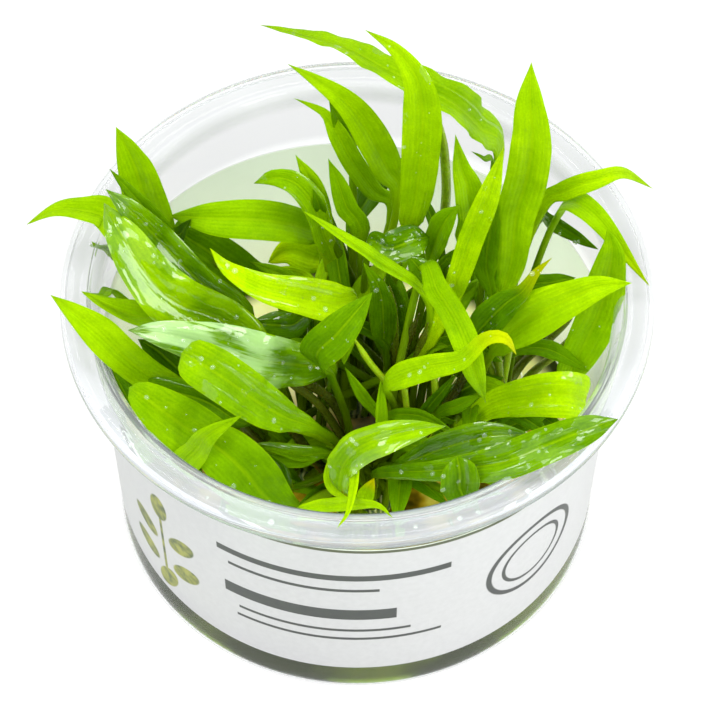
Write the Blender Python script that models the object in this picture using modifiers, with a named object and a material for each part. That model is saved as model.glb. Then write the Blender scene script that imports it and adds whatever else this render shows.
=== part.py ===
"""A potted aquarium plant: rosettes of long green leaves in a clear plastic cup.

Metres, +Z up. The origin is the middle of the cup's flat underside.
"""
import math

import bmesh
import bpy
from mathutils import Vector

MM = 0.001
OBJECT_NAME = "potted_cryptocoryne"

# Driving dimensions of the cup, in millimetres
CUP_HEIGHT = 60.0
RIM_RADIUS = 50.0
MOUTH_RADIUS = 44.6
WALL = 0.8
BASE_RADIUS = 41.1
WALL_SLOPE = 0.0545
CORNER_HEIGHT = 3.5
FLOOR_THICKNESS = 1.0
FLOOR_INSET = 3.4
SKIRT_DROP = 2.4
NECK_DROP = 2.6
BEAD_DROP = 0.5
ROUND_STEPS = 56

# The wrap-around paper label
LABEL_BOTTOM = 8.0
LABEL_TOP = 46.0
LABEL_THICKNESS = 0.25

# The culture gel that the plantlets stand in
GEL_TOP = 12.0
GEL_EDGE = 1.0

# Neighbouring pieces stand this far apart
GAP = 0.3

# Plantlet crowns: squat stubs on the gel, from which the leaves fan out
CROWN_HEIGHT = 2.6
CROWN_RADIUS = 5.8
CROWN_SHOULDER = 0.9
CROWN_SIDES = 18
CROWNS = {
    "front": (1, -10),
    "middle": (9, 2),
    "left": (-10, -2),
    "back": (0, 12),
    "right": (21, 6),
}

# Leaf stalks and blades
GOLDEN_ANGLE = math.radians(137.5)
FOOT_SPACING = 1.3
FOOT_OFFSET = 0.35
STALK_HALF_WIDTH = 0.75
STALK_THICKNESS = 1.3
BLADE_THICKNESS = 0.55
BLADE_FULLNESS = 0.85
STALK_RINGS = 4
RING_LENGTH = 4.5
FEWEST_BLADE_RINGS = 5
MOST_BLADE_RINGS = 12
CURVE_SAMPLES = 12
CREASE_ANGLE = math.radians(50)
NECK_REACH = 0.38
NECK_RISE = 0.52

# The light that the leaves turn their upper sides to comes from high on the front side
LIGHT_SIDE = Vector((0, -0.57, 0.82))


def leaf(name, width, route, fold=22, peak=0.5, cut=1.0, turn=0):
    """One leaf: its blade's width and the middle line from the blade's base to its tip.

    fold and turn are in degrees, peak is the share of the blade where it is widest,
    and a cut under 1 ends the blade bluntly at that share of its full outline.
    """
    return {
        "name": "leaf_" + name,
        "width": width,
        "route": route,
        "fold": fold,
        "peak": peak,
        "cut": cut,
        "turn": turn,
    }


# The leaves of each crown in the order in which their feet stand on it, in millimetres
LEAVES = {
    "back": [
        leaf("spear_right", 4, [(1, 15, 54), (-1, 14, 62), (-3, 14, 70), (-5, 15, 77)]),
        leaf("back_left_narrow", 3, [
            (6, 24, 46), (2, 25, 54), (-5, 29, 68), (-11, 33, 70),
        ], turn=40),
        leaf("centre_wet", 6, [(1, 10, 58), (5, 7, 62), (9, 7, 63), (12, 10, 62)]),
        leaf("back_left_wide", 4.5, [
            (7, 23, 54), (5, 22, 62), (2, 23, 70), (-5, 28, 79), (-12, 33, 79),
        ]),
        leaf("spear_left", 4.5, [(-3, 18, 50), (-7, 16, 67), (-11, 17, 74)]),
        leaf("back_tall", 6.5, [(9, 16, 58), (10, 16, 70), (11, 17, 89), (7, 21, 98), (1, 26, 97)]),
        leaf("back_shaded", 5.5, [(0, 33, 34), (2, 33, 42), (5, 33, 49), (8, 33, 54)], turn=-30),
        leaf("hooked", 4, [
            (-3, 10, 47), (-5, 10, 57), (-6, 9, 67), (-11, 12, 75), (-17, 14, 71),
        ], turn=30),
    ],
    "middle": [
        leaf("centre_dark_left", 5, [(5, 4, 36), (4, 4, 54), (1, 6, 60)]),
        leaf("centre_dark_right", 4.5, [(8, 7, 34), (7, 6, 43), (5, 7, 56)]),
        leaf("long_strap", 3.5, [(12, 0, 57), (2, 0, 70), (-9, 4, 77)], turn=45),
        leaf("right_spear", 5.5, [(18, 13, 56), (18, 12, 74), (16, 13, 86)]),
        leaf("leaning_blade", 4.5, [
            (10, -1, 44), (14, -2, 58), (20, -4, 86), (24, 0, 100),
        ], peak=0.6),
        leaf("twisted_tip", 6.5, [(19, -6, 54), (26, -8, 71), (32, -4, 76)], peak=0.42),
        leaf("right_small", 5.5, [(12, 11, 50), (13, 10, 58), (17, 9, 71)], turn=-30),
        leaf("curl_over", 4.5, [
            (5, -14, 52), (11, -18, 64), (18, -22, 73), (22, -22, 78), (26, -22, 73),
        ]),
        leaf("centre_right_wet", 5, [(15, 6, 43), (11, 5, 57), (9, 5, 62)]),
    ],
    "left": [
        leaf("left_wet_narrow", 4.5, [
            (-19, -1, 52), (-26, -2, 64), (-33, 2, 71), (-39, 2, 81), (-41, 4, 82),
        ]),
        leaf("left_tall_second", 4.5, [(-30, 9, 58), (-35, 6, 74), (-41, 8, 83)]),
        leaf("left_wet_broad", 9, [
            (-16, -7, 54), (-30, -9, 70), (-38, -4, 75), (-42, 7, 76),
        ], peak=0.56),
        leaf("left_back_lower", 6.5, [(-15, 12, 40), (-23, 12, 54), (-29, 13, 60)]),
        leaf("left_rim_upper", 6, [(-28, -3, 52), (-39, -7, 63), (-46, -4, 65)], turn=40),
        leaf("pale_gloss", 7, [(-4, -8, 46), (-13, -15, 60), (-26, -19, 71), (-37, -17, 73)]),
        leaf("left_tall", 8.5, [(-30, 13, 50), (-35, 12, 71), (-40, 14, 86)]),
        leaf("front_left_bent", 5, [
            (-27, -29, 50), (-27, -31, 58), (-24, -32, 65), (-18, -30, 68),
        ]),
        leaf("bright_blade", 6, [(-1, 1, 52), (-5, -2, 58), (-14, -5, 68), (-25, 1, 71)]),
        leaf("far_left", 7, [(-40, 7, 63), (-42, 9, 65), (-48, 11, 66), (-56, 12, 62)], turn=50),
        leaf("front_left_broad", 8, [(-19, -22, 46), (-28, -26, 59), (-37, -24, 63)], cut=0.78),
        leaf("left_back_broad", 7, [
            (-6, 20, 46), (-9, 17, 54), (-18, 12, 64), (-27, 10, 66), (-30, 13, 63),
        ]),
        leaf("left_rim_lower", 7, [(-26, -15, 50), (-36, -17, 60), (-43, -12, 66), (-51, -5, 66)]),
    ],
    "right": [
        leaf("tallest", 8, [(24, 7, 50), (28, 8, 72), (29, 10, 94), (28, 15, 103)], peak=0.6),
        leaf("right_back_dark", 3.5, [(31, 23, 49), (34, 19, 54), (41, 12, 56)], turn=40),
        leaf("beside_tallest", 5, [(23, 3, 53), (23, 4, 67), (23, 5, 78)], turn=-40),
        leaf("right_back_arch", 4.5, [
            (32, 17, 64), (38, 17, 69), (44, 19, 69), (50, 19, 64),
        ], turn=40),
        leaf("right_front_broad", 7, [
            (17, -14, 40), (20, -15, 47), (29, -18, 56), (38, -15, 50),
        ], cut=0.74),
        leaf("right_wall", 7, [(36, -5, 42), (38, -5, 50), (42, 0, 65), (42, 5, 71)], cut=0.85),
        leaf("back_arch", 7.5, [
            (24, 24, 66), (21, 21, 75), (11, 21, 86), (-2, 32, 83), (-17, 46, 74),
        ], peak=0.36, turn=35),
        leaf("right_bright", 7, [(25, -6, 54), (33, -7, 66), (41, -9, 74), (45, -10, 76)]),
        leaf("right_back_over", 4.5, [(34, 16, 60), (39, 11, 68), (49, 0, 62)], peak=0.3),
    ],
    "front": [
        leaf("front_wet", 5.5, [(7, -24, 43), (16, -25, 52), (25, -26, 56), (29, -25, 54)]),
        leaf("front_left_fold", 8, [
            (-6, -21, 46), (-17, -26, 67), (-25, -26, 75), (-29, -24, 74),
        ], cut=0.8),
        leaf("front_drooping", 2.5, [
            (-1, -30, 58), (0, -37, 62), (-1, -45, 62), (-3, -48, 61),
        ], turn=40),
        leaf("centre_small_upright", 2.5, [(4, -16, 40), (4, -16, 48), (4, -14, 54)], turn=30),
        leaf("front_curl", 6, [
            (-1, -36, 52), (-4, -37, 58), (0, -38, 68), (9, -37, 71), (14, -34, 69),
        ]),
        leaf("centre_drooping", 4.5, [
            (14, -4, 63), (16, -11, 69), (17, -16, 69), (19, -19, 65), (21, -19, 55),
        ]),
        leaf("centre_dark_fold", 7.5, [
            (-3, -12, 54), (-4, -15, 63), (-3, -15, 70), (1, -12, 75),
        ], cut=0.8),
        leaf("front_rim", 2.5, [(-9, -36, 48), (-5, -39, 54), (3, -44, 62), (6, -46, 61)]),
        leaf("front_cupped", 7.5, [(17, -31, 44), (17, -32, 51), (16, -31, 57)], cut=0.75, fold=40),
        leaf("front_left_low", 3.5, [(-5, -15, 34), (-10, -20, 40), (-16, -21, 44)], turn=40),
        leaf("front_long", 6.5, [
            (3, -26, 44), (12, -33, 55), (22, -34, 61), (32, -33, 63), (43, -27, 62),
        ]),
        leaf("centre_small_left", 2.5, [(4, -12, 40), (1, -12, 47), (-2, -10, 52)], turn=-30),
        leaf("front_left_wall", 8, [
            (-11, -30, 40), (-15, -31, 47), (-18, -30, 53), (-22, -26, 57),
        ]),
    ],
}


def clear_scene():
    for item in list(bpy.data.objects):
        bpy.data.objects.remove(item, do_unlink=True)


def new_collection(name):
    collection = bpy.data.collections.new(name)
    bpy.context.scene.collection.children.link(collection)
    return collection


def plain_material(name, colour, roughness, alpha=1.0):
    material = bpy.data.materials.new(name)
    material.use_nodes = True
    shader = material.node_tree.nodes["Principled BSDF"]
    shader.inputs["Base Color"].default_value = (*colour, 1.0)
    shader.inputs["Roughness"].default_value = roughness
    shader.inputs["Metallic"].default_value = 0.0
    shader.inputs["Alpha"].default_value = alpha
    return material


def mesh_object(name, bm, material, collection):
    bmesh.ops.recalc_face_normals(bm, faces=bm.faces)
    mesh = bpy.data.meshes.new(name)
    bm.to_mesh(mesh)
    bm.free()
    mesh.shade_smooth()
    mesh.set_sharp_from_angle(angle=CREASE_ANGLE)
    mesh.materials.append(material)
    item = bpy.data.objects.new(name, mesh)
    collection.objects.link(item)
    return item


def turned(name, profile, material, collection, closed=False):
    """Spins a profile of (radius, height) points in millimetres about the vertical axis."""
    bm = bmesh.new()
    corners = [bm.verts.new((radius * MM, 0, height * MM)) for radius, height in profile]
    for first, second in zip(corners, corners[1:]):
        bm.edges.new((first, second))
    if closed:
        bm.edges.new((corners[-1], corners[0]))
    mesh = bpy.data.meshes.new(name)
    bm.to_mesh(mesh)
    bm.free()
    mesh.materials.append(material)
    item = bpy.data.objects.new(name, mesh)
    collection.objects.link(item)
    screw = item.modifiers.new("Turn", "SCREW")
    screw.steps = ROUND_STEPS
    screw.render_steps = ROUND_STEPS
    screw.use_merge_vertices = True
    screw.merge_threshold = 0.00001
    screw.use_smooth_shade = True
    return item


def outer_wall(height):
    """The wall's outer radius at a height, in millimetres."""
    return BASE_RADIUS + (height - CORNER_HEIGHT) * WALL_SLOPE


def inner_wall(height):
    return outer_wall(height) - WALL


def make_cup(collection):
    """One moulded piece: floor, tapered wall and a stepped rim with a short skirt."""
    plastic = plain_material("clear_plastic", (0.80, 0.84, 0.86), 0.15, alpha=0.35)
    neck = CUP_HEIGHT - NECK_DROP
    profile = [
        (0, FLOOR_THICKNESS),
        (BASE_RADIUS - FLOOR_INSET, FLOOR_THICKNESS),
        (inner_wall(CORNER_HEIGHT), CORNER_HEIGHT),
        (inner_wall(neck), neck),
        (MOUTH_RADIUS - 0.4, CUP_HEIGHT - BEAD_DROP),
        (MOUTH_RADIUS, CUP_HEIGHT),
        (MOUTH_RADIUS + 1.4, CUP_HEIGHT - BEAD_DROP),
        (RIM_RADIUS - 1.6, CUP_HEIGHT - 0.2),
        (RIM_RADIUS - 0.3, CUP_HEIGHT - 0.4),
        (RIM_RADIUS, CUP_HEIGHT - 0.9),
        (RIM_RADIUS, CUP_HEIGHT - SKIRT_DROP),
        (RIM_RADIUS - WALL, CUP_HEIGHT - SKIRT_DROP),
        (RIM_RADIUS - WALL, CUP_HEIGHT - 1.1),
        (MOUTH_RADIUS + 1.3, CUP_HEIGHT - 1.4),
        (outer_wall(neck), neck),
        (BASE_RADIUS, CORNER_HEIGHT),
        (BASE_RADIUS - 1.0, 1.0),
        (BASE_RADIUS - 3.0, 0),
        (0, 0),
    ]
    return turned("cup", profile, plastic, collection)


def make_label(collection):
    """A paper band round the wall, as a thin tapered ring."""
    paper = plain_material("label_paper", (0.86, 0.86, 0.87), 0.55)
    bottom = outer_wall(LABEL_BOTTOM) + GAP
    top = outer_wall(LABEL_TOP) + GAP
    profile = [
        (bottom, LABEL_BOTTOM),
        (top, LABEL_TOP),
        (top + LABEL_THICKNESS, LABEL_TOP),
        (bottom + LABEL_THICKNESS, LABEL_BOTTOM),
    ]
    return turned("label", profile, paper, collection, closed=True)


def make_gel(collection):
    """The set culture gel, a puck that fills the cup's floor."""
    gel = plain_material("culture_gel", (0.78, 0.66, 0.30), 0.2)
    floor = FLOOR_THICKNESS + GAP
    brim = inner_wall(GEL_TOP) - GAP
    profile = [
        (0, GEL_TOP),
        (brim - GEL_EDGE, GEL_TOP),
        (brim, GEL_TOP - GEL_EDGE / 2),
        (inner_wall(CORNER_HEIGHT) - GAP, CORNER_HEIGHT),
        (BASE_RADIUS - FLOOR_INSET - GAP, floor),
        (0, floor),
    ]
    return turned("culture_gel", profile, gel, collection)


def make_crown(name, place, collection):
    """A squat stub with a rounded shoulder, standing just clear of the gel."""
    flesh = plain_material("crown_flesh", (0.16, 0.20, 0.05), 0.5)
    bm = bmesh.new()
    bmesh.ops.create_cone(
        bm,
        cap_ends=True,
        segments=CROWN_SIDES,
        radius1=CROWN_RADIUS * MM,
        radius2=CROWN_RADIUS * CROWN_SHOULDER * MM,
        depth=CROWN_HEIGHT * MM,
    )
    item = mesh_object("crown_" + name, bm, flesh, collection)
    middle = GEL_TOP + GAP + CROWN_HEIGHT / 2
    item.location = (place[0] * MM, place[1] * MM, middle * MM)
    return item


def foot_place(crown, number):
    """Leaves stand round a crown in a sunflower spiral, the natural order of a rosette."""
    reach = FOOT_SPACING * math.sqrt(number + FOOT_OFFSET)
    angle = GOLDEN_ANGLE * number
    height = GEL_TOP + GAP + CROWN_HEIGHT + GAP
    x, y = CROWNS[crown]
    return Vector((x + reach * math.cos(angle), y + reach * math.sin(angle), height))


def smooth_point(points, position):
    """A point on the Catmull-Rom curve through the points; whole positions are the points."""
    last = len(points) - 1
    index = min(int(position), last - 1)
    part = position - index
    start, end = points[index], points[index + 1]
    before = points[index - 1] if index > 0 else start * 2 - end
    after = points[index + 2] if index + 2 <= last else end * 2 - start
    pull = (end - before) * part
    bend = (before * 2 - start * 5 + end * 4 - after) * part**2
    close = (start * 3 - before - end * 3 + after) * part**3
    return start + (pull + bend + close) / 2


def blade_shape(share, peak):
    """Half width along a blade from 0 at its base to 1 at its widest and 0 at its tip."""
    power = math.log(0.5) / math.log(peak)
    return math.sin(math.pi * share**power) ** BLADE_FULLNESS


def leaf_stations(row, foot):
    """Middle points, half widths and thicknesses from the foot to the tip, in millimetres."""
    blade = [Vector(point) for point in row["route"]]
    base = blade[0]
    neck = Vector((
        foot.x + (base.x - foot.x) * NECK_REACH,
        foot.y + (base.y - foot.y) * NECK_REACH,
        foot.z + (base.z - foot.z) * NECK_RISE,
    ))
    whole = [foot, neck] + blade
    stalk = [smooth_point(whole, 2 * step / STALK_RINGS) for step in range(STALK_RINGS)]
    length = sum((second - first).length for first, second in zip(blade, blade[1:]))
    count = max(FEWEST_BLADE_RINGS, min(MOST_BLADE_RINGS, round(length / RING_LENGTH)))
    line = even_blade(whole, count)
    stations = [(point, STALK_HALF_WIDTH, STALK_THICKNESS) for point in stalk]
    for step, point in enumerate(line):
        share = step / count
        shape = blade_shape(share * row["cut"], row["peak"])
        half = STALK_HALF_WIDTH + (row["width"] / 2 - STALK_HALF_WIDTH) * shape
        if share * row["cut"] > row["peak"]:
            half = row["width"] / 2 * shape
        thickness = STALK_THICKNESS + (BLADE_THICKNESS - STALK_THICKNESS) * min(1, share * 4)
        stations.append((point, half, thickness))
    return stations


def even_blade(whole, count):
    """The blade's part of the whole line, at even steps."""
    fine = []
    spans = len(whole) - 3
    for step in range(CURVE_SAMPLES * spans + 1):
        fine.append(smooth_point(whole, 2 + step / CURVE_SAMPLES))
    lengths = [0.0]
    for first, second in zip(fine, fine[1:]):
        lengths.append(lengths[-1] + (second - first).length)
    line = []
    index = 0
    for step in range(count + 1):
        goal = lengths[-1] * step / count
        while index < len(fine) - 2 and lengths[index + 1] < goal:
            index += 1
        share = (goal - lengths[index]) / (lengths[index + 1] - lengths[index])
        line.append(fine[index].lerp(fine[index + 1], min(share, 1.0)))
    return line


def leaf_frames(row, stations):
    """Across and upward directions at each station.

    The middle of the blade turns its upper side to the light, then leans over by the leaf's
    turn, and the rest of the leaf follows from there without a twist.
    """
    last = len(stations) - 1
    along = []
    for index in range(last + 1):
        ahead = stations[min(index + 1, last)][0]
        behind = stations[max(index - 1, 0)][0]
        along.append((ahead - behind).normalized())
    middle = (STALK_RINGS + last) // 2
    facing = LIGHT_SIDE.cross(along[middle]).normalized()
    lean = math.radians(row["turn"])
    across = [None] * (last + 1)
    across[middle] = facing * math.cos(lean) + along[middle].cross(facing) * math.sin(lean)
    for index in range(middle + 1, last + 1):
        across[index] = square_to(along[index], across[index - 1])
    for index in range(middle - 1, -1, -1):
        across[index] = square_to(along[index], across[index + 1])
    return [(side, line.cross(side)) for line, side in zip(along, across)]


def square_to(line, side):
    """The direction nearest to side that is at a right angle to line."""
    return (side - line * side.dot(line)).normalized()


def make_leaf(row, foot, collection, material):
    """One leaf, stalk and blade in one closed body with a shallow trough along its middle."""
    stations = leaf_stations(row, foot)
    frames = leaf_frames(row, stations)
    fold = math.radians(row["fold"])
    bm = bmesh.new()
    rings = []
    for index, ((point, half, thickness), (across, up)) in enumerate(zip(stations, frames)):
        if index == len(stations) - 1 and row["cut"] == 1.0:
            continue
        open_fold = fold if index >= STALK_RINGS else 0.0
        side = across * half * math.cos(open_fold)
        lift = up * half * math.sin(open_fold)
        ring = [
            point - side + lift,
            point + up * thickness / 2,
            point + side + lift,
            point - up * thickness / 2,
        ]
        rings.append([bm.verts.new(corner * MM) for corner in ring])
    for lower, upper in zip(rings, rings[1:]):
        for side in range(4):
            following = (side + 1) % 4
            bm.faces.new((lower[side], lower[following], upper[following], upper[side]))
    bm.faces.new(rings[0])
    if row["cut"] == 1.0:
        tip = bm.verts.new(stations[-1][0] * MM)
        for side in range(4):
            bm.faces.new((rings[-1][side], rings[-1][(side + 1) % 4], tip))
    else:
        bm.faces.new(list(reversed(rings[-1])))
    return mesh_object(row["name"], bm, material, collection)


def main():
    clear_scene()
    collection = new_collection(OBJECT_NAME)
    make_cup(collection)
    make_label(collection)
    make_gel(collection)
    for name, place in CROWNS.items():
        make_crown(name, place, collection)
    leaf_green = plain_material("leaf_green", (0.26, 0.50, 0.01), 0.35)
    for crown, rows in LEAVES.items():
        for number, row in enumerate(rows):
            make_leaf(row, foot_place(crown, number), collection, leaf_green)


main()
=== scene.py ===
import math
import random

import bpy
from mathutils import Matrix, Vector, noise


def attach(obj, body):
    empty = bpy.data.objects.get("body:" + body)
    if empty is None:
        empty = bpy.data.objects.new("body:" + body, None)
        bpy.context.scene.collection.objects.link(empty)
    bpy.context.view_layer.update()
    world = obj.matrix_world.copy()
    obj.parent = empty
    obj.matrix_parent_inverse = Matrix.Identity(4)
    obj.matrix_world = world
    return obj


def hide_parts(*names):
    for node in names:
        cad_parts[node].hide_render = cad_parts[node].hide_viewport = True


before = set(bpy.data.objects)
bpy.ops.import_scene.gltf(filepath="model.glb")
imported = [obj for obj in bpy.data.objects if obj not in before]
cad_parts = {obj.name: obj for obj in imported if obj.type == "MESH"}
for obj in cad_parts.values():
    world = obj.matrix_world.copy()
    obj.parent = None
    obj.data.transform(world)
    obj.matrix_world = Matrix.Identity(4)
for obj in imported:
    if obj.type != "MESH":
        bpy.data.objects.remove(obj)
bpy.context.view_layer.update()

MM = 0.001
FULL_TURN = 2 * math.pi
dice = random.Random(11)

# The cup and what stands in it, in millimetres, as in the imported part
BASE_RADIUS = 41.1
WALL = 0.8
WALL_SLOPE = 0.0545
CORNER_HEIGHT = 3.5
ROUND_STEPS = 192
LABEL_BOTTOM = 6.0
LABEL_MIDDLE = 27
LABEL_TOP = 46.0
LABEL_TILT = 1.9
LABEL_SAG = 1.2
LABEL_THICKNESS = 0.22
LABEL_RADIUS = 42.5
GEL_TOP = 12.0
GAP = 0.3
GEL_GAP = 0.06
GEL_WAVE = 0.28
FLANGE_TOP = 59.68

# Crowns and the feet of the leaves
CROWN_BASE = GEL_TOP + GAP
CROWN_HEIGHT = 2.6
CROWN_RADIUS = 5.8
KNOB_DEPTH = 0.03
CROWNS = {
    "front": (1, -10),
    "middle": (9, 2),
    "left": (-10, -2),
    "back": (0, 12),
    "right": (21, 6),
}
GOLDEN_ANGLE = math.radians(137.5)
FOOT_SPACING = 1.3
FOOT_OFFSET = 0.35
FOOT_CLEARANCE = 0.05
FIRST_SPARE_FOOT = 13

# How finely a leaf is lofted
STALK_RINGS = 14
BLADE_STEP = 1.15
FEWEST_BLADE_RINGS = 26
MOST_BLADE_RINGS = 60
CURVE_SAMPLES = 16
ACROSS = (-1, -0.9, -0.74, -0.55, -0.35, -0.16, -0.05, 0.05, 0.16, 0.35, 0.55, 0.74, 0.9, 1)
RING_SIZE = 2 * len(ACROSS) - 2

# A leaf's plain shape
STALK_HALF_WIDTH = 0.75
STALK_THICKNESS = 1.3
BLADE_THICKNESS = 0.4
THINNEST_HALF = 0.02
NECK_REACH = 0.38
NECK_RISE = 0.52
BLUNT_FROM = 0.88
BLUNT_LENGTH = 0.12
LIGHT_SIDE = Vector((0, -0.57, 0.82))

# How soon a stalk widens, opens and thins into a blade: 5 is within a fifth of the blade
WIDENING = 8
OPENING = 5
THINNING = 3.5

# A blade's fold, the ripples of its margins and its rounded section
FOLD_LOSS = 0.35
RIPPLE_HEIGHT = 0.055
RIPPLE_POWER = 2.2
SECOND_RIPPLE = 0.6
SECOND_PACE = 1.9
EDGE_POWER = 2.4
THICKEST_SHARE = 1.6

# Water beads: how many, their sides, and the reach and rise of each ring in shares of the radius
FEWEST_BEADS = 3
WET_BEADS = 12
FLANGE_BEADS = 16
BEAD_SIDES = 10
BEAD_RINGS = ((0.9, -0.25), (1.0, 0.05), (0.82, 0.4), (0.45, 0.6))
BEAD_TOP = 0.66
WET_ENOUGH = 0.3

FILLERS = 56
ROOTS = 9
RIGHT_ROOTS = 6
STALK_SIDES = 12
STALK_STEPS = 36
PRINT_EDGE = 0.06
LAMP_DISTANCE = 0.95

PLAIN_LEAF = {
    "width": 0, "peak": 0.5, "fold": 22, "turn": 0, "tone": 0.6, "wet": 0.1, "gold": 0, "wave": 1,
    "puff": 0.1,
}


def leaf(name, *route, **looks):
    """One leaf, with the middle line from its blade's base to its tip, in millimetres.

    A route point may hold the blade's full width there as its fourth number; if none does, width
    is the widest and peak the share of the length where it lies. fold and turn are in degrees.
    tone runs from deep to bright green, and its lowest values, on leaves that lie in shade deep in
    the cup, are partly painted shade;
    wet and gold are shares, wave scales the ripple of the margins and puff the swelling of each
    half.
    """
    return {**PLAIN_LEAF, "name": "leaf_" + name, "route": route, **looks}


def small(crown, name, *route, **looks):
    return crown, leaf("small_" + name, *route, **looks)


# The leaves of each crown, in the order in which their feet stand on it
LEAVES = {}
LEAVES["back"] = [
    leaf("spear_right", (0.5, 15.5, 56, 3.5), (-2, 15, 64, 4), (-3.5, 15, 71, 2.8),
         (-5, 15, 77, 0)),
    leaf("back_left_narrow", (6, 27.5, 46, 2), (2.5, 27.5, 52, 3.5), (-1, 27.5, 60, 4),
         (-3.5, 28.5, 66, 3.6), (-5.5, 30.5, 69, 1.8), (-8, 32, 69.5, 1), (-11, 34, 69, 0),
         tone=0.72),
    leaf("centre_wet", (2, 11, 58, 2.5), (5.5, 7.5, 62, 5.6), (9.5, 8.5, 63, 5.8),
         (12, 10, 62, 0.5), tone=0.5, wet=1, wave=2),
    leaf("back_left_wide", (7, 26, 52, 3), (5, 26, 60, 5.4), (2.5, 26, 68, 6.2),
         (-0.5, 26.5, 75, 5.2), (-3.5, 27, 79, 3.8), (-7.5, 29.5, 80, 2), (-12, 33.5, 79, 0),
         tone=0.82),
    leaf("spear_left", (-5.5, 15, 52, 3), (-6.5, 16, 62, 4), (-8, 16, 70, 3.2),
         (-10.5, 16.5, 76, 0), tone=0.8),
    leaf("back_tall", (9, 15, 60, 4.4), (10, 16, 68, 6.1), (10.5, 16, 81, 6.9),
         (10.5, 16.5, 89, 6.7), (9.5, 18, 95, 4.8), (6, 21.5, 98, 2.4), (1, 26, 97.5, 0), tone=0.78,
         wet=0.4),
    leaf("back_shaded", (0, 33, 34), (2, 33, 42), (5, 33, 49), (8, 33, 54), width=5.5, turn=-30,
         tone=0.2),
    leaf("hooked", (-4, 15, 47, 2), (-6, 14, 57, 4.2), (-7.5, 13.5, 66, 4.6),
         (-10.5, 14, 71.5, 4.2), (-14, 14, 73, 3), (-17.5, 15, 70, 0), turn=20, tone=0.66, wet=0.6),
]

LEAVES["middle"] = [
    leaf("centre_dark_left", (5, 4, 36), (4, 4, 54), (1, 6, 60), width=5, tone=0.42, wet=0.5),
    leaf("centre_dark_right", (8, 7, 34), (7, 6, 43), (5, 7, 56), width=4.5, tone=0.36, wet=0.5),
    leaf("long_strap", (12, 0, 57), (2, 0, 70), (-9, 4, 77), width=3.5, turn=45, tone=0.75),
    leaf("right_spear", (18.5, 13.5, 58, 4.2), (18.5, 13, 71, 5.3), (17, 12.5, 79, 3),
         (16, 12.5, 87, 0), tone=0.75),
    leaf("leaning_blade", (12, -0.5, 46, 3), (16.5, 1.5, 60, 4), (19, 2, 73, 4.5),
         (21.5, 0.5, 87, 3.8), (23.5, 0.5, 99.5, 0), tone=0.9, wet=0.3),
    leaf("twisted_tip", (19.5, -5.5, 54, 3), (22, -6.5, 61, 6.2), (25, -7, 67, 5.4),
         (27.5, -7.5, 71, 2.8), (29.5, -6, 74, 1.5), (32, -4.5, 76, 0), tone=0.35, gold=0.45,
         fold=30, wet=0.4),
    leaf("right_small", (12.5, 12.5, 50, 2.2), (13.5, 12, 58, 4.8), (15, 10.5, 66, 4.4),
         (17, 10, 71, 0), turn=-30, tone=0.55),
    leaf("curl_over", (5, -15.5, 54, 1.8), (7.5, -18, 61, 4.6), (12.5, -19.5, 66, 4.4),
         (17.5, -21.5, 71, 3.4), (21, -21, 76, 2.5), (24, -21.5, 77, 1.9), (26, -22, 73, 0),
         tone=0.82, gold=0.6, wet=0.3),
    leaf("centre_right_wet", (14.5, 5, 46, 1.5), (12.5, 4, 56, 4.4), (10.5, 4, 61, 4.2),
         (8.5, 6, 62, 0.8), tone=0.5, wet=0.8),
]

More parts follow.
